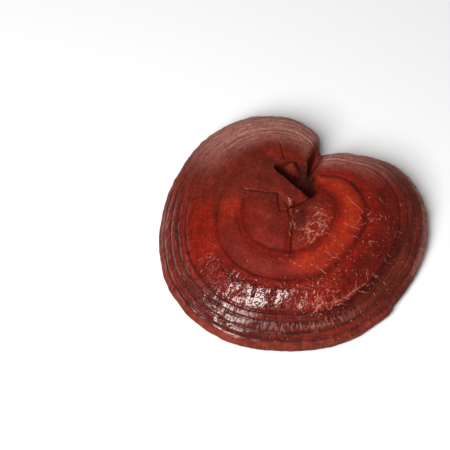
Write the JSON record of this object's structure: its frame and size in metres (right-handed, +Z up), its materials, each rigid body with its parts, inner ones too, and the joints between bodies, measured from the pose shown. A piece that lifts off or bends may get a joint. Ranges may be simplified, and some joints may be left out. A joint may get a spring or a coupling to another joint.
{
  "type": "reishi mushroom",
  "caption": "Dried reishi mushroom with a kidney-shaped, varnished, growth-ringed cap that lies on its rim and on the flat cut of its short stem.",
  "frame": {"origin": "on the table under the middle of the mushroom's outline", "axes": "+Z up, +X to the large lobe's side, +Y towards the notch at the back, -Y towards the wide front rim"},
  "size_m": [0.1544, 0.1452, 0.0341],
  "materials": {
    "varnished_cap": "glossy natural varnish over dark red-brown ringed skin, with a matte cream pore surface below",
    "stem_bark": "satin dark brown bark with a matte tan cut end"
  },
  "bodies": {
    "root": {"cap": "varnished_cap", "stem": "stem_bark"}
  },
  "joints": []
}
